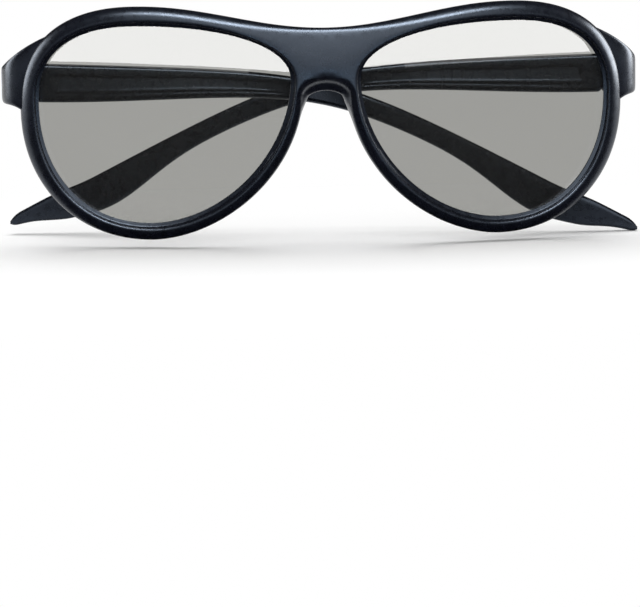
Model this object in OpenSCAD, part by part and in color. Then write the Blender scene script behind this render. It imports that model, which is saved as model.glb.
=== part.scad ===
// Passive polarised 3D glasses: a moulded, curved front with two laminated lenses,
// and two folding temples on steel hinge pins. Shown folded, as they are put away.
// Frame: millimetres, +Z up, the wearer looks along -Y, the wearer's left is +X.
// The origin is the crown of the nose arch, halfway through the front's thickness.

/* [Lens opening] */
// Width of one visible lens opening
lens_w = 56.3; // [50:0.1:62]
// Height of one visible lens opening
lens_h = 44.4; // [38:0.1:50]
// Clear distance between the two lens openings
bridge_w = 15.6; // [14:0.1:20]
// Highest point of the lens opening above the nose arch
lens_top_z = 12.7; // [10:0.1:15]
// Distance of that highest point from the nose side of the opening
lens_top_x = 32.7; // [28:0.1:38]
// Distance of the lowest point of the opening from its nose side
lens_low_x = 31.9; // [28:0.1:38]
// Height of the point of the opening nearest the nose
lens_nose_z = 0.7; // [-4:0.1:4]
// Height of the outermost point of the opening
lens_side_z = -5; // [-10:0.1:0]
// Roundness of the four corners: upper outer, upper nose, lower outer, lower nose
lens_round = [2.44, 2.16, 2.2, 1.86];

/* [Front moulding] */
// Rim width over the lens
rim_top = 4.4; // [3.4:0.1:6]
// Rim width at the side
rim_side = 4.2; // [3.4:0.1:6]
// Rim width under the lens
rim_low = 3.8; // [3.2:0.1:6]
// Height of the brow line over the nose arch, in the middle
brow_z = 12.2; // [10:0.1:15]
// Half width of the nose arch
arch_half = 5.2; // [4:0.1:6]
// Rise of the nose arch above the ends of its flanks
arch_rise = 3.3; // [1.5:0.1:4]
// Roundness of the rim outline: upper outer, lower outer, lower nose
rim_round = [2.35, 2.15, 1.81];
// Thickness of the front, from its face to its back
front_t = 4.6; // [4.4:0.1:6]
// Radius of the wrap of the front, seen from above
wrap_r = 190; // [150:5:300]
// Lean of the front, top forwards, against the upright hinges
front_tilt = 4; // [0:0.5:8]
// How far the nose pads stand out behind the front
pad_depth = 3.4; // [1:0.1:5]
// How far the back of the nose arch stands in past its front edge
saddle_in = 2.3; // [0:0.1:3]
// How far the bridge leans back towards its upper edge
bridge_crown = 1; // [0:0.1:1.2]

/* [Lens laminate] */
// Thickness of the quarter-wave retarder film, on the screen side
retarder_t = 0.15; // [0.1:0.01:0.2]
// Thickness of the clear cover sheet between the retarder and the polariser
cover_t = 0.15; // [0.1:0.01:0.2]
// Thickness of the linear polariser film
polariser_t = 0.15; // [0.1:0.01:0.2]
// Thickness of the clear carrier sheet, on the eye side
carrier_t = 0.3; // [0.2:0.01:0.35]

/* [Endpieces and hinges] */
// How far the endpiece reaches out past the rim
end_reach = 4.3; // [3:0.1:7]
// Depth from the bridge to the hinge axis
hinge_y = 20; // [18:0.1:24]
// Height of the middle of the hinge
hinge_z = -0.2; // [-2:0.1:2]
// Radius of the hinge barrels
barrel_r = 1.7; // [1.4:0.05:2]
// Radius of the hinge pin
pin_r = 0.7; // [0.5:0.05:0.9]
// Height of the temple's middle barrel
barrel_h = 2.9; // [2:0.1:3.4]
// Height of each of the two barrels on the front
ear_h = 2.4; // [1.8:0.1:2.6]
// Lean of each hinge axis, one forwards and one back, so that the arms pass each other
hinge_rake = 1.8; // [0:0.1:3]
// Lean of both hinge axes to one side, by which one folded arm hangs lower
hinge_roll = 0.45; // [0:0.05:1]

/* [Temples] */
// Length from the hinge axis to the tip
temple_l = 140.4; // [125:0.1:155]
// Thickness at the hinge
temple_t = 3.8; // [3.2:0.1:4.4]
// Thickness at the tip
tip_t = 2.4; // [2:0.1:3.4]
// Height at the hinge
temple_h = 8.9; // [7:0.1:9.5]
// Height near the tip
tip_h = 2.7; // [2:0.1:4]
// Height at the narrow neck
neck_h = 5; // [3.6:0.1:6]
// Distance of the neck from the hinge
neck_x = 77; // [60:1:90]
// Extra height of the broad end behind the ear
paddle_h = 4.1; // [1:0.1:5]
// Distance of the broad end from the hinge
paddle_x = 115.8; // [100:0.1:125]
// Distance from the hinge where the arm bends down
bend_x = 70.8; // [60:0.1:85]
// Fall of the arm behind the bend, per unit of length
bend_fall = 0.49; // [0.3:0.01:0.6]
// Rise of the upper edge towards the blunt tip
tip_rise = 1; // [0:0.1:2]
// Inward curve of the tip
tip_bow = 1.6; // [0:0.1:4]
// Depth of the long recess in the inner face
recess_d = 0.7; // [0.3:0.05:1]
// How far the outer, later folded temple stands off at rest
outer_fold = 8.5; // [7:0.1:12]

/* [Hidden] */
shell_c = [0.085, 0.09, 0.115];
film_c = [0.5, 0.5, 0.48, 0.6];
steel_c = [0.7, 0.7, 0.72];
// Lens opening, measured from the middle plane
in_n = bridge_w / 2;
in_o = in_n + lens_w;
in_tx = in_n + lens_top_x;
in_bx = in_n + lens_low_x;
in_bz = lens_top_z - lens_h;
// Outline of the front
out_o = in_o + rim_side;
out_tz = lens_top_z + rim_top;
out_bz = in_bz - rim_low;
out_oz = lens_side_z - 1.5;
flank_z = -arch_rise;
face_y = -front_t / 2;
// Lens groove and the recessed ledge in front of it
ledge_d = 2.1;
seat_d = 2.9;
groove_w = retarder_t + cover_t + polariser_t + carrier_t + 0.1;
groove_deep = 1.5;
lens_in_groove = 1.3;
// Hinge
butt_x = out_o + end_reach;
face_gap = 2;
hinge_x = butt_x - temple_t - face_gap;
butt_gap = 0.45;
barrel_gap = 0.15;
pin_len = barrel_h + 2 * (ear_h + barrel_gap) + 0.4;
press_gap = 0.01;
run_gap = 0.05;
// Columns of the front's loft, as angles round the lens opening
crown_deg = 178;
flank_deg = 186;
brow_deg = 510;
arch_steps = 6;
rim_steps = 78;
plane_steps = 5;
eps = 0.01;

function blend(a, b, f) = a + (b - a) * f;
function smooth(f) = let (u = min(1, max(0, f))) u * u * (3 - 2 * u);
function power(a, p) = sign(a) * pow(abs(a), 2 / p);
function unit(v) = v / norm(v);

// A point of the lens opening: four quarters of superellipses that meet at its extremes
function opening(t) =
  let (c = cos(t), s = sin(t))
  let (p = s >= 0 ? (c >= 0 ? lens_round[0] : lens_round[1]) : (c >= 0 ? lens_round[2] : lens_round[3]))
  let (mx = s >= 0 ? in_tx : in_bx, mz = c >= 0 ? lens_side_z : lens_nose_z)
  let (rx = c >= 0 ? in_o - mx : mx - in_n, rz = s >= 0 ? lens_top_z - mz : mz - in_bz)
  [mx + rx * power(c, p), mz + rz * power(s, p)];

// A point of the free outline: nose arch, nose flank, lower side, upper side, brow
function arch_point(t) =
  let (a = 90 * (t - crown_deg) / (flank_deg - crown_deg))
  [arch_half * sin(a), flank_z + arch_rise * cos(a)];
function flank_point(t) =
  let (a = 180 + 90 * (t - flank_deg) / (270 - flank_deg))
  [in_bx + (in_bx - arch_half) * power(cos(a), rim_round[2]),
    flank_z + (flank_z - out_bz) * power(sin(a), rim_round[2])];
function side_point(t) =
  let (up = t >= 360, p = up ? rim_round[0] : rim_round[1], mx = up ? in_tx : in_bx)
  [mx + (out_o - mx) * power(cos(t), p),
    out_oz + (up ? out_tz - out_oz : out_oz - out_bz) * power(sin(t), p)];
function brow_point(t) =
  let (x = in_tx * (1 - (t - 450) / (brow_deg - 450)))
  [x, brow_z + (out_tz - brow_z) * (1 - cos(180 * x / in_tx)) / 2];
function outline(t) =
  t <= flank_deg ? arch_point(t) :
  t <= 270 ? flank_point(t) :
  t <= 450 ? side_point(t) : brow_point(t);
function outward(t) =
  t <= crown_deg + eps ? [0, -1] :
  t >= brow_deg - eps ? [0, 1] :
  let (d = outline(t + 0.2) - outline(t - 0.2)) unit([d[1], -d[0]]);

free_t = concat(
  [for (i = [0 : arch_steps - 1]) crown_deg + (flank_deg - crown_deg) * i / arch_steps],
  [for (i = [0 : rim_steps]) flank_deg + (brow_deg - flank_deg) * i / rim_steps]);
plane_t = [for (i = [1 : plane_steps - 1]) brow_deg + (crown_deg + 360 - brow_deg) * i / plane_steps];
col_t = concat(free_t, plane_t);
n_free = len(free_t);
n_col = len(col_t);

// Where a column of the loft meets the outline, or the middle plane at the bridge
edge_inset = 1.2;
function column_end(j) =
  j < n_free ? outline(col_t[j]) :
  [0, blend(brow_z - edge_inset, edge_inset, (j - n_free + 1) / plane_steps)];
function toward(j) = unit(column_end(j) - opening(col_t[j]));
// Height of the nose pads along the flank
function pad(t) = pad_depth * smooth((t - flank_deg + 4) / 14) * smooth((flank_deg + 44 - t) / 26);
// How far the back of the nose arch stands in, fading out down the flank
function saddle(t) = saddle_in * smooth((flank_deg + 14 - t) / 22);

// The section of the rim at one column: [point in the front's plane, depth behind the face].
// It runs from the recessed ledge over the rounded face and the back to the lens groove.
function flat_section(j) =
  let (t = col_t[j], a = opening(t), b = column_end(j), w = norm(b - a), d = toward(j))
  let (n = j < n_free ? outward(t) : [0, 0], p = j < n_free ? pad(t) : 0)
  let (q = j < n_free ? saddle(t) : 0)
  let (back = seat_d + groove_w)
  [
    [a, ledge_d],
    [a + 0.75 * d, 1.8],
    [a + 0.95 * d, 0.3],
    [a + 1.2 * d, 0.07],
    [blend(a + 1.2 * d, b - edge_inset * n, 0.42), 0],
    [b - edge_inset * n, j < n_free ? 0.45 : 0.05],
    [b - 0.4 * n, 1.1],
    [b, blend(2, front_t / 2, q / (saddle_in + eps))],
    [b + q * n, front_t - 1.4 + p],
    [b + (q - 0.5) * n, front_t - 0.3 + p],
    [b - min(2, 0.55 * w) * n, front_t],
    [a + 0.9 * d, front_t],
    [a + 0.3 * d, front_t - 0.45],
    [a + 0.3 * d, back],
    [a + groove_deep * d, back],
    [a + groove_deep * d, seat_d],
    [a, seat_d]
  ];
// The same with the crown of the bridge, of which each point of the face takes a share
function crown(q) = bridge_crown * exp(-pow(q[0] / 12, 2)) * pow(max(0, (q[1] - 1) / 10), 2);
crown_share = [0, 0, 0.5, 0.9, 1, 1, 0.6, 0.2];
function section(j) =
  let (rows = flat_section(j))
  [for (k = [0 : n_sec - 1])
    [rows[k][0], rows[k][1] + (k < len(crown_share) ? crown_share[k] * crown(rows[k][0]) : 0)]];
n_sec = 17;
first_edge = 5;
last_edge = 10;

// Wraps a point of the front's plane and its depth round the upright axis of the wrap
function wrapped(q, d) = [q[0], face_y + wrap_r - sqrt(pow(wrap_r - d, 2) - q[0] * q[0]), q[1]];

// The rims, bridge and brow: both halves share the points on the middle plane
module rims() {
  half = [for (j = [0 : n_col - 1]) for (s = section(j)) wrapped(s[0], s[1])];
  other = [for (p = half) [-p[0], p[1], p[2]]];
  function at_bridge(j) = j == 0 || j >= n_free - 1;
  function shared(j, k) =
    k >= first_edge && k <= last_edge &&
    (j == 0 || j == n_free - 1 || (j >= n_free && (k == first_edge || k == last_edge)));
  function id(h, j, k) = (h == 1 && !shared(j, k) ? n_col * n_sec : 0) + j * n_sec + k;
  function corner(h, j, k) = id(h, j % n_col, k % n_sec);
  faces = [for (h = [0, 1]) for (j = [0 : n_col - 1]) for (k = [0 : n_sec - 1])
    if (!(j >= n_free - 1 && k >= first_edge && k < last_edge))
      let (a = corner(h, j, k), b = corner(h, j + 1, k), c = corner(h, j + 1, k + 1), d = corner(h, j, k + 1))
        for (f = h == 0 ? [[a, b, c], [a, c, d]] : [[a, c, b], [a, d, c]]) f];
  polyhedron(concat(half, other), faces);
}

// Joins a list of closed loops, all with as many points, into one solid. Each loop runs down one
// side and up the other, so its end is closed by a strip between opposite points.
module loft(loops) {
  m = len(loops[0]);
  e = len(loops) - 1;
  points = [for (l = loops) for (p = l) p];
  sides = [for (i = [0 : e - 1]) for (k = [0 : m - 1])
    let (a = i * m + k, b = i * m + (k + 1) % m, c = a + m, d = b + m)
      for (f = [[a, d, c], [a, b, d]]) f];
  ends = [for (k = [0 : m / 2 - 2])
    let (a = k, b = k + 1, c = m - 2 - k, d = m - 1 - k, z = e * m)
      for (f = [[a, c, b], [a, d, c], [z + a, z + b, z + c], [z + a, z + c, z + d]]) f];
  polyhedron(points, concat(sides, ends));
}

// A rounded bar section as such a loop, from the top down its outer side and up its inner side
function bar_loop(w, h, r) =
  let (a = w / 2, b = h / 2, f = b - r)
  let (side = concat(
    [[a - r, b], [a - 0.29 * r, b - 0.29 * r], [a, f]],
    [for (i = [1 : 5]) [a, f * (1 - i / 3)]],
    [[a, -f], [a - 0.29 * r, 0.29 * r - b], [a - r, -b]]))
  concat(side, [for (i = [len(side) - 1 : -1 : 0]) [-side[i][0], side[i][1]]]);

// The endpiece leaves the rim behind its face, outside the lens groove, and turns back to the hinge.
// Its root follows the rounded corner of the lens opening and the lean of the front.
function curve(p, f) =
  pow(1 - f, 3) * p[0] + 3 * f * pow(1 - f, 2) * p[1] + 3 * f * f * (1 - f) * p[2] + pow(f, 3) * p[3];
end_steps = 12;
end_root_t = 3.1;
end_root_x = in_o + groove_deep + 0.25;
function end_wrap(x) = face_y + wrap_r - sqrt(pow(wrap_r - 0.62 * front_t, 2) - x * x);
end_root_y = end_wrap(end_root_x);
module endpiece() {
  end_x = butt_x - temple_t / 2;
  run = [[end_root_x, end_root_y], [blend(end_root_x, end_x, 0.66), end_root_y + 1.15],
    [end_x, end_root_y + 2.3], [end_x, hinge_y - butt_gap]];
  function top(f) = blend(hinge_z + temple_h / 2, out_tz - 4.2, pow(1 - f, 2));
  function low(f) = blend(hinge_z - temple_h / 2, out_oz - 1.2, pow(1 - f, 4));
  function root_in(z, f) = 0.055 * pow(max(0, z), 2) * pow(1 - f, 2);
  function root_lean(z, f) =
    z * tan(front_tilt) * (1 - f) + end_root_y - end_wrap(end_root_x - root_in(z, f));
  function root_thin(z, f) = smooth((z - 4) / 6) * pow(1 - f, 2);
  loops = [for (i = [0 : end_steps])
    let (f = i / end_steps, p = curve(run, f), mid = (top(f) + low(f)) / 2)
    let (g = curve(run, min(1, f + eps)) - curve(run, max(0, f - eps)), u = unit(g), n = [-u[1], u[0]])
      [for (q = bar_loop(blend(end_root_t, temple_t, f), top(f) - low(f), 0.9))
        let (z = mid + q[1], w = q[0] * (1 - 0.3 * root_thin(z, f)))
          [p[0] + w * n[0] - root_in(z, f), p[1] + w * n[1] - root_lean(z, f), z]]];
  loft(loops);
}

// Brings upright hinge details onto the leaning axis of one side
module on_hinge(side) {
  translate([hinge_x, hinge_y, hinge_z])
    rotate([0, side * hinge_roll, 0])
      rotate([side * hinge_rake, 0, 0])
        children();
}

// The two ears of the front's half of a hinge, each a barrel with a web to the endpiece
module ears(side) {
  on_hinge(side)
    for (up = [-1, 1])
      translate([0, 0, up * (barrel_h / 2 + barrel_gap + ear_h / 2)]) {
        cylinder(r = barrel_r, h = ear_h, center = true, $fn = 48);
        translate([0, -barrel_r, -ear_h / 2])
          cube([face_gap + 1.4, barrel_r - 0.4, ear_h]);
      }
}

module pin_bore(side, r) {
  on_hinge(side)
    cylinder(r = r, h = pin_len + 4, center = true, $fn = 32);
}

module mirrored(side) {
  if (side > 0)
    children();
  else
    mirror([1, 0, 0])
      children();
}

module front_frame() {
  color(shell_c)
    difference() {
      union() {
        rotate([front_tilt, 0, 0])
          rims();
        for (side = [-1, 1])
          mirrored(side) {
            endpiece();
            ears(side);
          }
      }
      for (side = [-1, 1])
        mirrored(side)
          pin_bore(side, pin_r + press_gap);
    }
}

// One layer of a lens: the lens outline, bent to the wrap of the front
module lens_layer(front_d, thick) {
  edge = [for (j = [0 : n_col - 1]) opening(col_t[j]) + lens_in_groove * toward(j)];
  rotate([front_tilt, 0, 0])
    intersection() {
      rotate([90, 0, 0])
        translate([0, 0, -wrap_r / 3])
          linear_extrude(wrap_r / 2)
            polygon(edge);
      translate([0, face_y + wrap_r, in_bz - 5])
        difference() {
          cylinder(r = wrap_r - front_d, h = lens_h + 10, $fn = 360);
          translate([0, 0, -1])
            cylinder(r = wrap_r - front_d - thick, h = lens_h + 12, $fn = 360);
        }
    }
}

retarder_d = seat_d + 0.05;
cover_d = retarder_d + retarder_t;
polariser_d = cover_d + cover_t;
carrier_d = polariser_d + polariser_t;
module retarder_film(side) {
  color(film_c)
    mirrored(side)
      lens_layer(retarder_d, retarder_t);
}
module cover_sheet(side) {
  color(film_c)
    mirrored(side)
      lens_layer(cover_d, cover_t);
}
module polariser_film(side) {
  color(film_c)
    mirrored(side)
      lens_layer(polariser_d, polariser_t);
}
module carrier_sheet(side) {
  color(film_c)
    mirrored(side)
      lens_layer(carrier_d, carrier_t);
}
module left_retarder_film() {
  retarder_film(1);
}
module left_cover_sheet() {
  cover_sheet(1);
}
module left_polariser_film() {
  polariser_film(1);
}
module left_carrier_sheet() {
  carrier_sheet(1);
}
module right_retarder_film() {
  retarder_film(-1);
}
module right_cover_sheet() {
  cover_sheet(-1);
}
module right_polariser_film() {
  polariser_film(-1);
}
module right_carrier_sheet() {
  carrier_sheet(-1);
}

// The arm along its length: upper edge, full height, thickness and inward curve
bend_soft = 10;
tip_round = 2.4;
tip_taper = 14.6;
function rise(s) = tip_rise * smooth((s - temple_l + 19.4) / 11);
function arm_top(s) =
  temple_h / 2 - 0.035 * s - bend_fall * bend_soft * ln(1 + exp((s - bend_x) / bend_soft)) + rise(s);
function hinge_cut(s) = 0.85 * max(0, 2.4 - s);
function arm_full(s) =
  blend(temple_h, blend(neck_h, tip_h - tip_rise, smooth(1 - (temple_l - s) / tip_taper)), smooth(s / neck_x))
    + paddle_h * exp(-pow((s - paddle_x) / 12, 2)) + rise(s) - hinge_cut(s);
function tip_share(s) = sqrt(max(0, 1 - pow(max(0, s - temple_l + tip_round) / tip_round, 2)));
function arm_t(s) = blend(temple_t, tip_t, smooth(s / temple_l)) * max(0.4, pow(tip_share(s), 0.6));
function arm_in(s) = face_gap - tip_bow * pow(max(0, s - bend_x) / (temple_l - bend_x), 2);
function recess(s) = recess_d * smooth((s - 5.5) / 2) * smooth((62 - s) / 22);

// The section of the arm, [distance behind the hinge line, height]. Its inner side has a groove
// near the lower edge and over it a long recess whose floor leans upwards.
function arm_section(s) =
  let (full = arm_full(s), e = max(0.28, tip_share(s)), h = full * e, t = arm_t(s))
  let (z = arm_top(s) - full / 2, n = arm_in(s), g = recess(s))
  let (r = min(0.95, 0.3 * min(h, t)), a = h / 2, f = a - r)
  [for (q = [
    [t - r, a], [t - 0.29 * r, a - 0.29 * r], [t, f],
    [t + 0.04, 0.8 * f], [t + 0.08, 0.6 * f], [t + 0.11, 0.35 * f], [t + 0.12, 0.12 * f],
    [t + 0.12, -0.12 * f], [t + 0.11, -0.35 * f], [t + 0.08, -0.6 * f], [t + 0.04, -0.8 * f],
    [t, -f], [t - 0.29 * r, 0.29 * r - a], [t - r, -a],
    [r, -a], [0.29 * r, 0.29 * r - a], [0, -f],
    [0, -0.87 * f], [0.5 * g, -0.81 * f], [0.5 * g, -0.63 * f], [0, -0.57 * f],
    [0, -0.45 * f], [0.35 * g, -0.38 * f], [g, 0.54 * f], [0, 0.62 * f],
    [0, f], [0.29 * r, a - 0.29 * r], [r, a]])
    [n + q[0], z + q[1]]];

arm_stations = concat(
  [butt_gap, 1.4, 2.4, 4, 5.5, 6.2, 6.9, 7.5],
  [for (i = [1 : 33]) 7.5 + (temple_l - tip_round - 7.5) * i / 33],
  [for (i = [1 : 7]) temple_l - tip_round + tip_round * sin(90 * i / 7)]);

// One temple along +X from its hinge axis, its outer face towards +Y
module temple(side, fold) {
  difference() {
    union() {
      loft([for (s = arm_stations) [for (q = arm_section(s)) [s, q[0], q[1]]]]);
      rotate([0, 0, -fold])
        rotate([side * hinge_rake, 0, 0])
          cylinder(r = barrel_r, h = barrel_h, center = true, $fn = 48);
      translate([0.3, 0, -barrel_h / 2])
        cube([barrel_r, face_gap + 0.9, barrel_h]);
    }
    rotate([0, 0, -fold])
      rotate([side * hinge_rake, 0, 0])
        cylinder(r = pin_r + run_gap, h = barrel_h + 4, center = true, $fn = 32);
  }
}

module right_temple() {
  color(shell_c)
    translate([-hinge_x, hinge_y, hinge_z])
      rotate([0, hinge_roll, 0])
        temple(-1, 0);
}

module left_temple() {
  color(shell_c)
    mirror([1, 0, 0])
      translate([-hinge_x, hinge_y, hinge_z])
        rotate([0, -hinge_roll, 0])
          rotate([0, 0, outer_fold])
            temple(1, outer_fold);
}

module hinge_pin(side) {
  color(steel_c)
    mirrored(side)
      on_hinge(side)
        cylinder(r = pin_r, h = pin_len, center = true, $fn = 32);
}
module left_hinge_pin() {
  hinge_pin(1);
}
module right_hinge_pin() {
  hinge_pin(-1);
}

front_frame();
left_retarder_film();
left_cover_sheet();
left_polariser_film();
left_carrier_sheet();
right_retarder_film();
right_cover_sheet();
right_polariser_film();
right_carrier_sheet();
left_temple();
right_temple();
left_hinge_pin();
right_hinge_pin();
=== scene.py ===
import math

import bmesh
import bpy
import numpy as np
from mathutils import Matrix, Vector


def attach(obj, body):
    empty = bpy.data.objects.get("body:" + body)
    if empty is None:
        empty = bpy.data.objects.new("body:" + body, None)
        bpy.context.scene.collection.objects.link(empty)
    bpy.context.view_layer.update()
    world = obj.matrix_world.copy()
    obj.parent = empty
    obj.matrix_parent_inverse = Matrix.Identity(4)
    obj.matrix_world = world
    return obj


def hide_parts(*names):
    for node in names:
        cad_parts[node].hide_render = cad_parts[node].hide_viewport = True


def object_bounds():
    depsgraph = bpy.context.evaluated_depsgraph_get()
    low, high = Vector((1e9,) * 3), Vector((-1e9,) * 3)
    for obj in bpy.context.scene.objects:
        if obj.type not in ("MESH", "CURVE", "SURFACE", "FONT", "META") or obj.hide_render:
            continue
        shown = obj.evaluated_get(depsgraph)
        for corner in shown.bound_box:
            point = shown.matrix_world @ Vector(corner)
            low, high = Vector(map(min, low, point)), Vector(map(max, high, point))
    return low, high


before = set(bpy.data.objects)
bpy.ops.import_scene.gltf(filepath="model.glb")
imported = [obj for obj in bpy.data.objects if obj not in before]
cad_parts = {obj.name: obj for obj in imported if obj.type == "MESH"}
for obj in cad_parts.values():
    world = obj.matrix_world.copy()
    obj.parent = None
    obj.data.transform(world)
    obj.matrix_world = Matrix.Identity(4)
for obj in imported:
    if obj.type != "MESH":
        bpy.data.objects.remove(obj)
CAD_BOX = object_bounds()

MM = 0.001

# Sizes of the part, in millimetres, as in its source
LENS_W, LENS_H, BRIDGE_W = 56.3, 44.4, 15.6
LENS_TOP_Z, LENS_TOP_X, LENS_LOW_X = 12.7, 32.7, 31.9
LENS_NOSE_Z, LENS_SIDE_Z = 0.7, -5.0
LENS_ROUND = (2.44, 2.16, 2.2, 1.86)
RIM_TOP, RIM_SIDE, RIM_LOW = 4.4, 4.2, 3.8
BROW_Z, ARCH_HALF, ARCH_RISE = 12.2, 5.2, 3.3
RIM_ROUND = (2.35, 2.15, 1.81)
FRONT_T, WRAP_R, TILT, PAD_DEPTH, SADDLE_IN = 4.6, 190.0, 4.0, 3.4, 2.3
LEDGE_D, SEAT_D, GROOVE_W, GROOVE_DEEP = 2.1, 2.9, 0.85, 1.5
LENS_T, LENS_IN_GROOVE = 0.75, 1.3
END_REACH, HINGE_Y, HINGE_Z = 4.3, 20.0, -0.2
BARREL_R, PIN_R, BARREL_H, EAR_H, RAKE, ROLL = 1.7, 0.7, 2.9, 2.4, 1.8, 0.45
TEMPLE_L, TEMPLE_T, TIP_T, TEMPLE_H, NECK_H, TIP_H = 140.4, 3.8, 2.4, 8.9, 5.0, 2.7
NECK_X, PADDLE_H, PADDLE_X, BEND_X, BEND_FALL = 77.0, 4.1, 115.8, 70.8, 0.49
TIP_BOW, TIP_RISE, TIP_ROUND, TIP_TAPER = 1.6, 1.0, 2.4, 14.6
RECESS_D, OUTER_FOLD = 0.7, 8.5
BUTT_GAP, BARREL_GAP, FACE_GAP = 0.45, 0.15, 2.0

IN_N = BRIDGE_W / 2
IN_O = IN_N + LENS_W
IN_TX = IN_N + LENS_TOP_X
IN_BX = IN_N + LENS_LOW_X
IN_BZ = LENS_TOP_Z - LENS_H
OUT_O = IN_O + RIM_SIDE
OUT_TZ = LENS_TOP_Z + RIM_TOP
OUT_BZ = IN_BZ - RIM_LOW
OUT_OZ = LENS_SIDE_Z - 1.5
FLANK_Z = -ARCH_RISE
FACE_Y = -FRONT_T / 2
BUTT_X = OUT_O + END_REACH
HINGE_X = BUTT_X - TEMPLE_T - FACE_GAP
PIN_LEN = BARREL_H + 2 * (EAR_H + BARREL_GAP) + 0.4
# Angles round the lens opening: crown of the nose arch, end of the arch, middle of the brow
CROWN, FLANK, BROW = 178.0, 186.0, 510.0
BRIDGE_CROWN, CROWN_SPREAD, CROWN_BASE, CROWN_RUN = 1.0, 12.0, 1.0, 10.0
ARM_FALL, BEND_SOFT, PADDLE_SPREAD = 0.035, 10.0, 12.0
BUTT_CUT, BUTT_SLOPE, RISE_BACK, RISE_RUN = 2.4, 0.85, 19.4, 11.0
RECESS_FROM, RECESS_TO = 5.5, 62.0
# Steps of the meshes
END_STEPS, ARM_STEPS, TIP_STEPS, LENS_RINGS = 18, 62, 9, 14


def sind(a):
    return math.sin(math.radians(a))


def cosd(a):
    return math.cos(math.radians(a))


def turned(degrees, axis):
    return Matrix.Rotation(math.radians(degrees), 4, axis)


def blend(a, b, f):
    return a + (b - a) * f


def smooth(f):
    u = min(1.0, max(0.0, f))
    return u * u * (3 - 2 * u)


def power(a, p):
    return math.copysign(abs(a) ** (2 / p), a)


def unit(v):
    v = np.asarray(v, float)
    return v / np.linalg.norm(v)


# Outlines of the front, the same formulas as the solids
def opening(t):
    c, s = cosd(t), sind(t)
    if s >= 0:
        p = LENS_ROUND[0] if c >= 0 else LENS_ROUND[1]
    else:
        p = LENS_ROUND[2] if c >= 0 else LENS_ROUND[3]
    mx = IN_TX if s >= 0 else IN_BX
    mz = LENS_SIDE_Z if c >= 0 else LENS_NOSE_Z
    rx = IN_O - mx if c >= 0 else mx - IN_N
    rz = LENS_TOP_Z - mz if s >= 0 else mz - IN_BZ
    return np.array([mx + rx * power(c, p), mz + rz * power(s, p)])


def outline(t):
    if t <= FLANK:
        a = 90 * (t - CROWN) / (FLANK - CROWN)
        return np.array([ARCH_HALF * sind(a), FLANK_Z + ARCH_RISE * cosd(a)])
    if t <= 270:
        a = 180 + 90 * (t - FLANK) / (270 - FLANK)
        p = RIM_ROUND[2]
        return np.array([IN_BX + (IN_BX - ARCH_HALF) * power(cosd(a), p),
                         FLANK_Z + (FLANK_Z - OUT_BZ) * power(sind(a), p)])
    if t <= 450:
        up = t >= 360
        p = RIM_ROUND[0] if up else RIM_ROUND[1]
        mx = IN_TX if up else IN_BX
        rz = OUT_TZ - OUT_OZ if up else OUT_OZ - OUT_BZ
        return np.array([mx + (OUT_O - mx) * power(cosd(t), p), OUT_OZ + rz * power(sind(t), p)])
    x = IN_TX * (1 - (t - 450) / (BROW - 450))
    return np.array([x, BROW_Z + (OUT_TZ - BROW_Z) * (1 - cosd(180 * x / IN_TX)) / 2])


def outward(t):
    if t <= CROWN + 0.01:
        return np.array([0.0, -1.0])
    if t >= BROW - 0.01:
        return np.array([0.0, 1.0])
    d = outline(t + 0.2) - outline(t - 0.2)
    return unit([d[1], -d[0]])


ARCH_STEPS, RIM_STEPS, PLANE_STEPS = 8, 132, 6
FREE = [CROWN + (FLANK - CROWN) * i / ARCH_STEPS for i in range(ARCH_STEPS)]
FREE += [FLANK + (BROW - FLANK) * i / RIM_STEPS for i in range(RIM_STEPS + 1)]
COLS = FREE + [BROW + (CROWN + 360 - BROW) * i / PLANE_STEPS for i in range(1, PLANE_STEPS)]
N_FREE, N_COL = len(FREE), len(COLS)
EDGE_INSET = 1.2


def column_end(j):
    if j < N_FREE:
        return outline(COLS[j])
    return np.array([0.0, blend(BROW_Z - EDGE_INSET, EDGE_INSET, (j - N_FREE + 1) / PLANE_STEPS)])


def toward(j):
    return unit(column_end(j) - opening(COLS[j]))


def pad(t):
    return PAD_DEPTH * smooth((t - FLANK + 4) / 14) * smooth((FLANK + 44 - t) / 26)


def saddle(t):
    return SADDLE_IN * smooth((FLANK + 14 - t) / 22)


# How far the bridge leans back towards its upper edge, and the share each point of a section takes
def crown(q):
    up = max(0.0, (q[1] - CROWN_BASE) / CROWN_RUN)
    return BRIDGE_CROWN * math.exp(-(q[0] / CROWN_SPREAD) ** 2) * up ** 2


CROWN_SHARE = (0.0, 0.0, 0.5, 0.9, 1.0, 1.0, 0.6, 0.2) + 9 * (0.0,)


def wrapped(q, d):
    return (q[0], FACE_Y + WRAP_R - math.sqrt((WRAP_R - d) ** 2 - q[0] ** 2), q[1])


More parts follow.
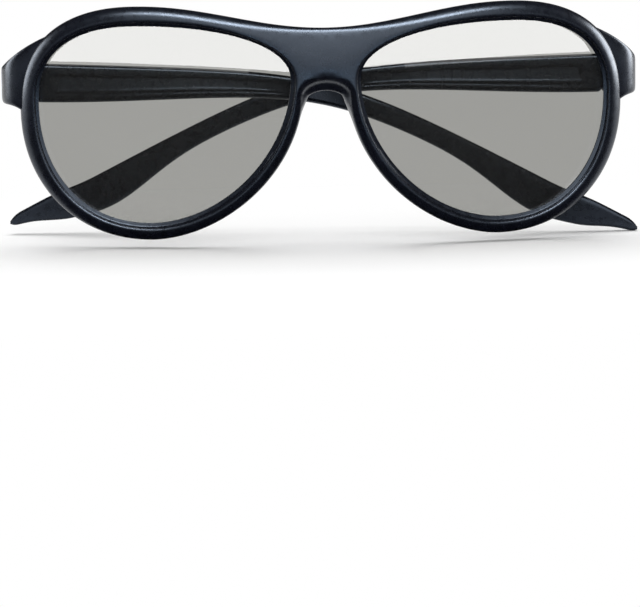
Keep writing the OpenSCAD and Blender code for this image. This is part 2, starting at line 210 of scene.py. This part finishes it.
def section(j):
    """The rim's section at one column, from the ledge over the face and the back to the groove."""
    t = COLS[j]
    free = j < N_FREE
    a, b = opening(t), column_end(j)
    w, d = np.linalg.norm(b - a), toward(j)
    n = outward(t) if free else np.zeros(2)
    p = pad(t) if free else 0.0
    q = saddle(t) if free else 0.0
    back = SEAT_D + GROOVE_W
    rows = [
        (a, LEDGE_D), (a + 0.75 * d, 1.8), (a + 0.95 * d, 0.3), (a + 1.2 * d, 0.07),
        (blend(a + 1.2 * d, b - EDGE_INSET * n, 0.42), 0.0),
        (b - EDGE_INSET * n, 0.45 if free else 0.05), (b - 0.4 * n, 1.1),
        (b, blend(2.0, FRONT_T / 2, q / SADDLE_IN)),
        (b + q * n, FRONT_T - 1.4 + p), (b + (q - 0.5) * n, FRONT_T - 0.3 + p),
        (b - min(2, 0.55 * w) * n, FRONT_T), (a + 0.9 * d, FRONT_T), (a + 0.3 * d, FRONT_T - 0.45),
        (a + 0.3 * d, back), (a + GROOVE_DEEP * d, back), (a + GROOVE_DEEP * d, SEAT_D),
        (a, SEAT_D)]
    return [(v, depth + k * crown(v)) for (v, depth), k in zip(rows, CROWN_SHARE)]


# Points in a section, and the first and last of them that lie on the free edge
N_SEC, EDGE_A, EDGE_B = 17, 5, 10
SHARP_ANGLE = 48


def new_mesh(name, verts, faces):
    me = bpy.data.meshes.new(name)
    me.from_pydata([tuple(v) for v in verts], [], faces)
    me.validate()
    me.update()
    return me


def crease(me, pick):
    """Sets the crease of each edge from pick(vertex a, vertex b)."""
    layer = me.attributes.new("crease_edge", "FLOAT", "EDGE")
    for e in me.edges:
        layer.data[e.index].value = pick(e.vertices[0], e.vertices[1])


def subdivided(me, levels):
    """The mesh after subdivision, as a new mesh."""
    o = bpy.data.objects.new("cage", me)
    bpy.context.scene.collection.objects.link(o)
    m = o.modifiers.new("smooth", "SUBSURF")
    m.levels = levels
    m.render_levels = levels
    done = bpy.data.meshes.new_from_object(o.evaluated_get(bpy.context.evaluated_depsgraph_get()))
    bpy.data.objects.remove(o)
    return done


def joined(name, meshes):
    """One object from several meshes, all shaded smooth apart from sharp edges."""
    bm = bmesh.new()
    for me in meshes:
        bm.from_mesh(me)
    bmesh.ops.recalc_face_normals(bm, faces=bm.faces)
    me = bpy.data.meshes.new(name)
    bm.to_mesh(me)
    bm.free()
    me.shade_smooth()
    me.set_sharp_from_angle(angle=math.radians(SHARP_ANGLE))
    o = bpy.data.objects.new(name, me)
    bpy.context.scene.collection.objects.link(o)
    return o


def moved(me, matrix):
    me.transform(matrix)
    me.update()
    return me


def rims_mesh():
    """Both rims in one mesh, the two halves joined across the middle plane of the bridge."""
    half = [wrapped(q, d) for j in range(N_COL) for q, d in section(j)]
    verts = half + [(-x, y, z) for x, y, z in half]

    def shared(j, k):
        if not EDGE_A <= k <= EDGE_B:
            return False
        return j in (0, N_FREE - 1) or (j >= N_FREE and k in (EDGE_A, EDGE_B))

    def vid(h, j, k):
        j, k = j % N_COL, k % N_SEC
        return (N_COL * N_SEC if h and not shared(j, k) else 0) + j * N_SEC + k

    faces = []
    for h in (0, 1):
        for j in range(N_COL):
            for k in range(N_SEC):
                if j >= N_FREE - 1 and EDGE_A <= k < EDGE_B:
                    continue
                f = [vid(h, j, k), vid(h, j + 1, k), vid(h, j + 1, k + 1), vid(h, j, k + 1)]
                faces.append(f if h == 0 else f[::-1])
    used = sorted({v for f in faces for v in f})
    back = {v: i for i, v in enumerate(used)}
    me = new_mesh("rims", [verts[v] for v in used], [[back[v] for v in f] for f in faces])
    row = [v % N_SEC for v in used]
    sharp = {0: 0.7, 1: 0.7, 2: 0.6, 3: 0.2, 12: 0.6, 13: 0.9, 14: 0.9, 15: 0.9, 16: 0.9}
    crease(me, lambda a, b: sharp.get(row[a], 0.0) if row[a] == row[b] else 0.0)
    return me


def loft_mesh(name, loops, crease_rows=(), end_crease=0.6):
    """Joins closed loops of as many points into one mesh, its ends closed by strips."""
    m, n = len(loops[0]), len(loops)
    verts = [p for l in loops for p in l]
    faces = []
    for i in range(n - 1):
        for k in range(m):
            k2 = (k + 1) % m
            faces.append([i * m + k, i * m + k2, (i + 1) * m + k2, (i + 1) * m + k])
    for k in range(m // 2 - 1):
        a = [k, k + 1, m - 2 - k, m - 1 - k]
        faces.append(a[::-1])
        faces.append([(n - 1) * m + v for v in a])
    me = new_mesh(name, verts, faces)
    rows = dict(crease_rows)

    def pick(a, b):
        if a % m == b % m:
            return rows.get(a % m, 0.0)
        if a // m == b // m and a // m in (0, n - 1) and abs(a % m - b % m) in (1, m - 1):
            return end_crease
        return 0.0

    crease(me, pick)
    return me


def bar_loop(w, h, r):
    a, b = w / 2, h / 2
    f = b - r
    side = [(a - r, b), (a - 0.29 * r, b - 0.29 * r), (a, f)]
    side += [(a, f * (1 - i / 3)) for i in range(1, 6)]
    side += [(a, -f), (a - 0.29 * r, 0.29 * r - b), (a - r, -b)]
    return side + [(-x, y) for x, y in side[::-1]]


def endpiece_mesh():
    """The endpiece leaves the rim behind its face and turns back to the hinge."""
    root_x = IN_O + GROOVE_DEEP + 0.25

    def wrap_y(x):
        return FACE_Y + WRAP_R - math.sqrt((WRAP_R - 0.62 * FRONT_T) ** 2 - x ** 2)

    root_y = wrap_y(root_x)
    end_x = BUTT_X - TEMPLE_T / 2
    run = [np.array(p) for p in ((root_x, root_y), (blend(root_x, end_x, 0.66), root_y + 1.15),
                                 (end_x, root_y + 2.3), (end_x, HINGE_Y - BUTT_GAP))]

    def curve(f):
        return ((1 - f) ** 3 * run[0] + 3 * f * (1 - f) ** 2 * run[1]
                + 3 * f * f * (1 - f) * run[2] + f ** 3 * run[3])

    loops = []
    for i in range(END_STEPS + 1):
        f = i / END_STEPS
        top = blend(HINGE_Z + TEMPLE_H / 2, OUT_TZ - 4.2, (1 - f) ** 2)
        low = blend(HINGE_Z - TEMPLE_H / 2, OUT_OZ - 1.2, (1 - f) ** 4)
        p = curve(f)
        u = unit(curve(min(1, f + 0.01)) - curve(max(0, f - 0.01)))
        n = (-u[1], u[0])
        loop = []
        for x, y in bar_loop(blend(3.1, TEMPLE_T, f), top - low, 0.9):
            z = (top + low) / 2 + y
            inset = 0.055 * max(0, z) ** 2 * (1 - f) ** 2
            lean = z * math.tan(math.radians(TILT)) * (1 - f) + root_y - wrap_y(root_x - inset)
            x *= 1 - 0.3 * smooth((z - 4) / 6) * (1 - f) ** 2
            loop.append((p[0] + x * n[0] - inset, p[1] + x * n[1] - lean, z))
        loops.append(loop)
    return loft_mesh("endpiece", loops)


def turned_verts(prof, steps):
    """The points of a profile turned round the upright axis."""
    verts = []
    for i in range(steps):
        a = 2 * math.pi * i / steps
        verts += [(q * math.cos(a), q * math.sin(a), z) for q, z in prof]
    return verts


def barrel_mesh(r, h, bore, edge=0.18, steps=48):
    """A hinge barrel round the upright axis, with rounded rims and a bore."""
    top, soft, lip = h / 2, 0.3 * edge, 0.06
    prof = [(bore, -top + lip), (bore + lip, -top), (r - edge, -top), (r - soft, -top + soft),
            (r, -top + edge), (r, top - edge), (r - soft, top - soft), (r - edge, top),
            (bore + lip, top), (bore, top - lip)]
    faces, n = [], len(prof)
    for i in range(steps):
        for k in range(n):
            k2, i2 = (k + 1) % n, (i + 1) % steps
            faces.append([i * n + k, i2 * n + k, i2 * n + k2, i * n + k2])
    return new_mesh("barrel", turned_verts(prof, steps), faces)


def pin_mesh(r, h, edge=0.12, steps=32):
    prof = [(r - edge, -h / 2), (r, -h / 2 + edge), (r, h / 2 - edge), (r - edge, h / 2)]
    faces, n = [], len(prof)
    for i in range(steps):
        i2 = (i + 1) % steps
        faces += [[i * n + k, i2 * n + k, i2 * n + k + 1, i * n + k + 1] for k in range(n - 1)]
    faces.append([i * n for i in range(steps)][::-1])
    faces.append([i * n + n - 1 for i in range(steps)])
    return new_mesh("pin", turned_verts(prof, steps), faces)


def block_mesh(lo, hi, edge=0.15):
    bm = bmesh.new()
    bmesh.ops.create_cube(bm, size=1)
    for v in bm.verts:
        v.co = [blend(l, h, c + 0.5) for l, h, c in zip(lo, hi, v.co)]
    bmesh.ops.bevel(bm, geom=bm.edges[:], offset=edge, segments=2, affect="EDGES")
    me = bpy.data.meshes.new("block")
    bm.to_mesh(me)
    bm.free()
    return me


def hinge_place(side):
    at = Matrix.Translation((HINGE_X, HINGE_Y, HINGE_Z))
    place = at @ turned(side * ROLL, "Y") @ turned(side * RAKE, "X")
    return place if side > 0 else FLIP @ place


# The arm at a distance s from its hinge: upper edge, full height, thickness, inward curve, recess
def rise(s):
    return TIP_RISE * smooth((s - TEMPLE_L + RISE_BACK) / RISE_RUN)


def arm_top(s):
    bend = BEND_FALL * BEND_SOFT * math.log1p(math.exp((s - BEND_X) / BEND_SOFT))
    return TEMPLE_H / 2 - ARM_FALL * s - bend + rise(s)


def arm_full(s):
    base = blend(NECK_H, TIP_H - TIP_RISE, smooth(1 - (TEMPLE_L - s) / TIP_TAPER))
    paddle = PADDLE_H * math.exp(-((s - PADDLE_X) / PADDLE_SPREAD) ** 2)
    cut = BUTT_SLOPE * max(0.0, BUTT_CUT - s)
    return blend(TEMPLE_H, base, smooth(s / NECK_X)) + paddle + rise(s) - cut


def tip_share(s):
    return math.sqrt(max(0.0, 1 - (max(0.0, s - TEMPLE_L + TIP_ROUND) / TIP_ROUND) ** 2))


def arm_t(s):
    return blend(TEMPLE_T, TIP_T, smooth(s / TEMPLE_L)) * max(0.4, tip_share(s) ** 0.6)


def arm_in(s):
    return FACE_GAP - TIP_BOW * (max(0.0, s - BEND_X) / (TEMPLE_L - BEND_X)) ** 2


def recess(s):
    return RECESS_D * smooth((s - RECESS_FROM) / 2) * smooth((RECESS_TO - s) / 22)


def arm_loop(s):
    full, t = arm_full(s), arm_t(s)
    h = full * max(0.28, tip_share(s))
    r = min(0.95, 0.3 * min(h, t))
    z, n, g, a = arm_top(s) - full / 2, arm_in(s), recess(s), h / 2
    f = a - r
    loop = [(t - r, a), (t - 0.29 * r, a - 0.29 * r), (t, f),
            (t + 0.04, 0.8 * f), (t + 0.08, 0.6 * f), (t + 0.11, 0.35 * f), (t + 0.12, 0.12 * f),
            (t + 0.12, -0.12 * f), (t + 0.11, -0.35 * f), (t + 0.08, -0.6 * f),
            (t + 0.04, -0.8 * f), (t, -f), (t - 0.29 * r, 0.29 * r - a), (t - r, -a),
            (r, -a), (0.29 * r, 0.29 * r - a), (0, -f),
            (0, -0.87 * f), (0.5 * g, -0.81 * f), (0.5 * g, -0.63 * f), (0, -0.57 * f),
            (0, -0.45 * f), (0.35 * g, -0.38 * f), (g, 0.54 * f), (0, 0.62 * f),
            (0, f), (0.29 * r, a - 0.29 * r), (r, a)]
    return [(s, n + x, z + y) for x, y in loop]


def temple_mesh(side, fold):
    """The arm, its hinge barrel and the web between them, along +X from the hinge."""
    start, end = 7.5, TEMPLE_L - TIP_ROUND
    stations = [BUTT_GAP, 1.2, 2.0, BUTT_CUT, 3.0, 4.2, RECESS_FROM, 5.9, 6.4, 7.0, start]
    stations += [start + (end - start) * i / ARM_STEPS for i in range(1, ARM_STEPS + 1)]
    stations += [end + TIP_ROUND * sind(90 * i / TIP_STEPS) for i in range(1, TIP_STEPS + 1)]
    rows = {17: 0.5, 18: 0.4, 19: 0.4, 20: 0.5, 21: 0.6, 22: 0.45, 23: 0.45, 24: 0.6}
    arm = subdivided(loft_mesh("arm", [arm_loop(s) for s in stations], rows.items()), 2)
    barrel = barrel_mesh(BARREL_R, BARREL_H, PIN_R + 0.05)
    moved(barrel, turned(-fold, "Z") @ turned(side * RAKE, "X"))
    web = block_mesh((0.3, 0.0, -BARREL_H / 2), (0.3 + BARREL_R, FACE_GAP + 0.9, BARREL_H / 2))
    # The web keeps clear of the bore
    for v in web.vertices:
        if v.co.x < 0.6 and v.co.y < 0.9:
            v.co.y += 0.9
    return [arm, barrel, web]


def lens_mesh():
    """One shell for the four sheets of a lens, bent to the wrap of the front."""
    edge = [opening(COLS[j]) + LENS_IN_GROOVE * toward(j) for j in range(N_COL)]
    mid = np.array([IN_TX - 1.5, -8.0])
    rings = [1 - (i / LENS_RINGS) for i in range(LENS_RINGS)]
    front, back = SEAT_D + 0.05, SEAT_D + 0.05 + LENS_T
    verts, faces = [], []
    for d in (front, back):
        for r in rings:
            verts += [wrapped(mid + (e - mid) * r, d) for e in edge]
        verts.append(wrapped(mid, d))
    n, m = N_COL, len(rings)
    half = n * m + 1
    for h in (0, 1):
        o = h * half
        for i in range(m - 1):
            for k in range(n):
                k2 = (k + 1) % n
                f = [o + i * n + k, o + i * n + k2, o + (i + 1) * n + k2, o + (i + 1) * n + k]
                faces.append(f if h == 0 else f[::-1])
        for k in range(n):
            f = [o + (m - 1) * n + k, o + (m - 1) * n + (k + 1) % n, o + half - 1]
            faces.append(f if h == 0 else f[::-1])
    for k in range(n):
        k2 = (k + 1) % n
        faces.append([k, half + k, half + k2, k2])
    return new_mesh("lens", verts, faces)


TO_METRES = Matrix.Scale(MM, 4)
LEAN = turned(TILT, "X")
FLIP = Matrix.Scale(-1, 4, (1, 0, 0))


# Materials
def material(name):
    m = bpy.data.materials.new(name)
    m.use_nodes = True
    nodes = m.node_tree.nodes
    nodes.clear()
    out = nodes.new("ShaderNodeOutputMaterial")
    return m, nodes, m.node_tree.links, out


def noise(nodes, links, coord, scale, detail=4.0, rough=0.5):
    n = nodes.new("ShaderNodeTexNoise")
    n.inputs["Scale"].default_value = scale
    n.inputs["Detail"].default_value = detail
    n.inputs["Roughness"].default_value = rough
    links.new(coord, n.inputs["Vector"])
    return n.outputs["Fac"]


def ramp(nodes, links, fac, stops):
    r = nodes.new("ShaderNodeValToRGB")
    while len(r.color_ramp.elements) < len(stops):
        r.color_ramp.elements.new(0.5)
    for e, (p, c) in zip(r.color_ramp.elements, stops):
        e.position = p
        e.color = c
    links.new(fac, r.inputs["Fac"])
    return r.outputs["Color"]


def grey(v):
    return (v, v, v, 1)


def math_node(nodes, links, operation, a, b, clamp=False):
    n = nodes.new("ShaderNodeMath")
    n.operation = operation
    n.use_clamp = clamp
    links.new(a, n.inputs[0])
    links.new(b, n.inputs[1])
    return n.outputs[0]


def plastic():
    m, nodes, links, out = material("shell_plastic")
    co = nodes.new("ShaderNodeTexCoord").outputs["Object"]
    p = nodes.new("ShaderNodeBsdfPrincipled")
    p.inputs["Specular IOR Level"].default_value = 0.5
    p.inputs["Specular Tint"].default_value = (0.68, 0.81, 1.0, 1)
    tint = ramp(nodes, links, noise(nodes, links, co, 420, 4),
                [(0.32, (0.0020, 0.0023, 0.0048, 1)), (0.7, (0.0040, 0.0046, 0.0092, 1))])
    links.new(tint, p.inputs["Base Color"])
    rough = ramp(nodes, links, noise(nodes, links, co, 700, 4),
                 [(0.3, grey(0.24)), (0.7, grey(0.33))])
    links.new(rough, p.inputs["Roughness"])
    bump = nodes.new("ShaderNodeBump")
    bump.inputs["Strength"].default_value = 0.04
    bump.inputs["Distance"].default_value = 0.00004
    links.new(noise(nodes, links, co, 1500, 3), bump.inputs["Height"])
    links.new(bump.outputs["Normal"], p.inputs["Normal"])
    links.new(p.outputs["BSDF"], out.inputs["Surface"])
    return m


def steel():
    m, nodes, links, out = material("pin_steel")
    co = nodes.new("ShaderNodeTexCoord").outputs["Object"]
    p = nodes.new("ShaderNodeBsdfPrincipled")
    p.inputs["Metallic"].default_value = 1.0
    p.inputs["Base Color"].default_value = (0.56, 0.56, 0.58, 1)
    rough = ramp(nodes, links, noise(nodes, links, co, 3000, 3),
                 [(0.3, grey(0.2)), (0.7, grey(0.36))])
    links.new(rough, p.inputs["Roughness"])
    links.new(p.outputs["BSDF"], out.inputs["Surface"])
    return m


def lens_material():
    m, nodes, links, out = material("lens_laminate")
    co = nodes.new("ShaderNodeTexCoord").outputs["Object"]
    clear = nodes.new("ShaderNodeBsdfTransparent")
    tint = ramp(nodes, links, noise(nodes, links, co, 14, 2),
                [(0.3, (0.60, 0.60, 0.585, 1)), (0.7, (0.615, 0.615, 0.60, 1))])
    links.new(tint, clear.inputs["Color"])
    gloss = nodes.new("ShaderNodeBsdfGlossy")
    gloss.inputs["Roughness"].default_value = 0.006
    fres = nodes.new("ShaderNodeFresnel")
    fres.inputs["IOR"].default_value = 1.9
    # The shell reflects once, at the face towards the viewer, for both of its faces
    backs = nodes.new("ShaderNodeNewGeometry").outputs["Backfacing"]
    share = math_node(nodes, links, "SUBTRACT", fres.outputs["Fac"], backs, clamp=True)
    mix = nodes.new("ShaderNodeMixShader")
    links.new(share, mix.inputs["Fac"])
    # A trace of haze from the glue between the sheets
    haze = nodes.new("ShaderNodeBsdfDiffuse")
    haze.inputs["Color"].default_value = grey(0.8)
    body = nodes.new("ShaderNodeMixShader")
    body.inputs["Fac"].default_value = 0.009
    links.new(clear.outputs["BSDF"], body.inputs[1])
    links.new(haze.outputs["BSDF"], body.inputs[2])
    links.new(body.outputs["Shader"], mix.inputs[1])
    links.new(gloss.outputs["BSDF"], mix.inputs[2])
    links.new(mix.outputs["Shader"], out.inputs["Surface"])
    return m


SHELL, STEEL, LENS = plastic(), steel(), lens_material()


def piece(name, meshes, body, mat, nodes):
    o = joined(name, [moved(me, TO_METRES) for me in meshes])
    o.data.materials.clear()
    o.data.materials.append(mat)
    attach(o, body)
    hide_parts(*nodes)


# The front: rims, endpieces and the ears of both hinges
front = [moved(subdivided(rims_mesh(), 2), LEAN)]
for side in (1, -1):
    end = subdivided(endpiece_mesh(), 1)
    front.append(end if side > 0 else moved(end, FLIP))
    for up in (1, -1):
        z = up * (BARREL_H / 2 + BARREL_GAP + EAR_H / 2)
        ear = moved(barrel_mesh(BARREL_R, EAR_H, PIN_R + 0.01), Matrix.Translation((0, 0, z)))
        web = block_mesh((0.9, -BARREL_R, z - EAR_H / 2), (FACE_GAP + 1.4, -0.4, z + EAR_H / 2))
        front += [moved(me, hinge_place(side)) for me in (ear, web)]
piece("front_shell", front, "front", SHELL, ["front_frame"])

# Temples
AT_HINGE = Matrix.Translation((-HINGE_X, HINGE_Y, HINGE_Z))
right = temple_mesh(-1, 0)
for me in right:
    moved(me, AT_HINGE @ turned(ROLL, "Y"))
piece("right_temple_arm", right, "right_arm", SHELL, ["right_temple"])
left = temple_mesh(1, OUTER_FOLD)
for me in left:
    moved(me, FLIP @ AT_HINGE @ turned(-ROLL, "Y") @ turned(OUTER_FOLD, "Z"))
piece("left_temple_arm", left, "left_arm", SHELL, ["left_temple"])

# Lenses and pins
LAYERS = ("_retarder_film", "_cover_sheet", "_polariser_film", "_carrier_sheet")
for side, name in ((1, "left"), (-1, "right")):
    lens = moved(lens_mesh(), LEAN)
    if side < 0:
        moved(lens, FLIP)
    piece(name + "_lens", [lens], "front", LENS, [name + s for s in LAYERS])
    pin = moved(pin_mesh(PIN_R, PIN_LEN), hinge_place(side))
    piece(name + "_pin", [pin], "front", STEEL, [name + "_hinge_pin"])

# Studio: pale floor, soft light from above, white surroundings
low = CAD_BOX[0][2]


def plane(name, size, z):
    corners = [(-size, -size, z), (size, -size, z), (size, size, z), (-size, size, z)]
    o = bpy.data.objects.new(name, new_mesh(name, corners, [[0, 1, 2, 3]]))
    bpy.context.scene.collection.objects.link(o)
    return o


floor = plane("floor", 6.0, low)
fm, nodes, links, out = material("floor_paper")
paper = nodes.new("ShaderNodeBsdfDiffuse")
paper.inputs["Color"].default_value = (0.93, 0.93, 0.93, 1)
glow = nodes.new("ShaderNodeEmission")
glow.inputs["Color"].default_value = (1, 1, 1, 1)
path = nodes.new("ShaderNodeLightPath").outputs
seen = math_node(nodes, links, "MAXIMUM", path["Is Camera Ray"], path["Is Transmission Ray"])
seen = math_node(nodes, links, "MAXIMUM", seen, path["Is Glossy Ray"])
# White from some way off, and plain paper near the object, where its shadow falls
pos = nodes.new("ShaderNodeTexCoord").outputs["Object"]
flat = nodes.new("ShaderNodeVectorMath")
flat.operation = "MULTIPLY"
flat.inputs[1].default_value = (0.5, 1, 0)
links.new(pos, flat.inputs[0])
dist = nodes.new("ShaderNodeVectorMath")
dist.operation = "LENGTH"
links.new(flat.outputs["Vector"], dist.inputs[0])
far = nodes.new("ShaderNodeMapRange")
far.interpolation_type = "SMOOTHSTEP"
far.inputs["From Min"].default_value = 0.05
far.inputs["From Max"].default_value = 0.15
links.new(dist.outputs["Value"], far.inputs["Value"])
share = math_node(nodes, links, "MULTIPLY", far.outputs["Result"], seen)
both = nodes.new("ShaderNodeMixShader")
links.new(share, both.inputs["Fac"])
links.new(paper.outputs["BSDF"], both.inputs[1])
links.new(glow.outputs["Emission"], both.inputs[2])
links.new(both.outputs["Shader"], out.inputs["Surface"])
floor.data.materials.append(fm)

world = bpy.data.worlds.new("studio")
bpy.context.scene.world = world
world.use_nodes = True
wn, wl = world.node_tree.nodes, world.node_tree.links
wn.clear()
w_out = wn.new("ShaderNodeOutputWorld")
w_path = wn.new("ShaderNodeLightPath").outputs
w_seen = math_node(wn, wl, "MAXIMUM", w_path["Is Camera Ray"], w_path["Is Transmission Ray"])
w_level = wn.new("ShaderNodeMapRange")
w_level.inputs["To Min"].default_value = 0.36
w_level.inputs["To Max"].default_value = 1.0
wl.new(w_seen, w_level.inputs["Value"])
w_bg = wn.new("ShaderNodeBackground")
w_bg.inputs["Color"].default_value = (1, 1, 1, 1)
w_dim = wn.new("ShaderNodeMapRange")
w_dim.inputs["To Min"].default_value = 1.0
w_dim.inputs["To Max"].default_value = 0.15
wl.new(w_path["Is Glossy Ray"], w_dim.inputs["Value"])
w_strength = math_node(wn, wl, "MULTIPLY", w_level.outputs["Result"], w_dim.outputs["Result"])
wl.new(w_strength, w_bg.inputs["Strength"])
wl.new(w_bg.outputs["Background"], w_out.inputs["Surface"])


def light_only(o, pieces):
    """Lets a lamp or card light only the named pieces."""
    o.light_linking.receiver_collection = bpy.data.collections.new(o.name)
    for name in pieces:
        o.light_linking.receiver_collection.objects.link(bpy.data.objects[name])


def softbox(name, at, aim, size_x, size_y, radiance, diffuse=True, glossy=True):
    light = bpy.data.lights.new(name, "AREA")
    light.shape = "RECTANGLE"
    light.size, light.size_y = size_x, size_y
    light.energy = radiance * math.pi * size_x * size_y
    o = bpy.data.objects.new(name, light)
    o.location = at
    o.rotation_euler = (Vector(aim) - Vector(at)).to_track_quat("-Z", "Y").to_euler()
    o.visible_camera, o.visible_diffuse, o.visible_glossy = False, diffuse, glossy
    bpy.context.scene.collection.objects.link(o)
    return o


softbox("back_box", (0.0, 0.2, 0.6), (0, 0, -0.02), 0.5, 0.8, 3.2, glossy=False)
softbox("key_box", (0.0, -0.45, 0.52), (0, 0, 0.01), 0.6, 0.14, 36.0, diffuse=False)
softbox("low_box", (0.03, -0.6, 0.16), (0, 0, 0), 0.7, 0.36, 2.6)
left_box = softbox("left_box", (-0.54, 0.16, 0.12), (-0.05, 0, 0.02), 0.26, 0.28, 7.0)
right_box = softbox("right_box", (0.54, 0.14, 0.12), (0.05, 0, 0.02), 0.26, 0.28, 13.0)
light_only(left_box, ["front_shell"])
light_only(right_box, ["front_shell"])


# Cards on the floor in front, seen only as reflections: a dark one, a lit one beyond it that the
# upper strip of the lenses mirrors, and a small lit one for the sheen of the bridge
CARD_STEPS = 44


def card(name, span, near, far, lift, glow, pieces=(), tint=(1, 1, 1, 1)):
    steps = [blend(span[0], span[1], i / CARD_STEPS) for i in range(CARD_STEPS + 1)]
    rows = [[(x, edge(x), low + lift) for x in steps] for edge in (near, far)]
    far_row = CARD_STEPS + 1
    faces = [[i, far_row + i, far_row + i + 1, i + 1] for i in range(CARD_STEPS)]
    o = bpy.data.objects.new(name, new_mesh(name, rows[0] + rows[1], faces))
    bpy.context.scene.collection.objects.link(o)
    m, n, l, end = material(name)
    e = n.new("ShaderNodeEmission" if glow else "ShaderNodeBsdfDiffuse")
    e.inputs["Color"].default_value = tint if glow else grey(0.02)
    if glow:
        e.inputs["Strength"].default_value = glow
    l.new(e.outputs[0], end.inputs["Surface"])
    o.data.materials.append(m)
    o.visible_camera = o.visible_diffuse = o.visible_transmission = o.visible_shadow = False
    if pieces:
        light_only(o, pieces)


def card_edge(x):
    return -0.1945 + 1.4 * (abs(x) - 0.068) ** 2


card("dark_card", (-0.33, 0.33), lambda x: 0.012, card_edge, 0.0006, 0)
card("lit_card", (-0.33, 0.33), card_edge, lambda x: card_edge(x) - 0.075, 0.0018, 6.6,
     ("left_lens", "right_lens"))
card("bridge_card", (-0.045, 0.075), lambda x: -0.13, lambda x: -0.25, 0.0012, 5.0,
     ("front_shell",), (0.72, 0.87, 1.0, 1))

# Camera at the photo's viewing angle
cam_data = bpy.data.cameras.new("camera")
cam_data.sensor_fit = "HORIZONTAL"
cam_data.sensor_width = 36.0
cam_data.lens = 174.6
cam_data.clip_start = 0.01
cam = bpy.data.objects.new("camera", cam_data)
bpy.context.scene.collection.objects.link(cam)
right_v = Vector((0.99776, -0.06534, -0.0143))
up_v = Vector((0.02254, 0.12712, 0.99163))
fwd_v = Vector((0.06297, 0.98973, -0.12831))
turn = Matrix((right_v, up_v, -fwd_v)).transposed()
cam.matrix_world = Matrix.Translation(Vector((-45.94, -690.13, 39.88)) * MM) @ turn.to_4x4()
bpy.context.scene.camera = cam
bpy.context.scene.view_settings.view_transform = "Standard"
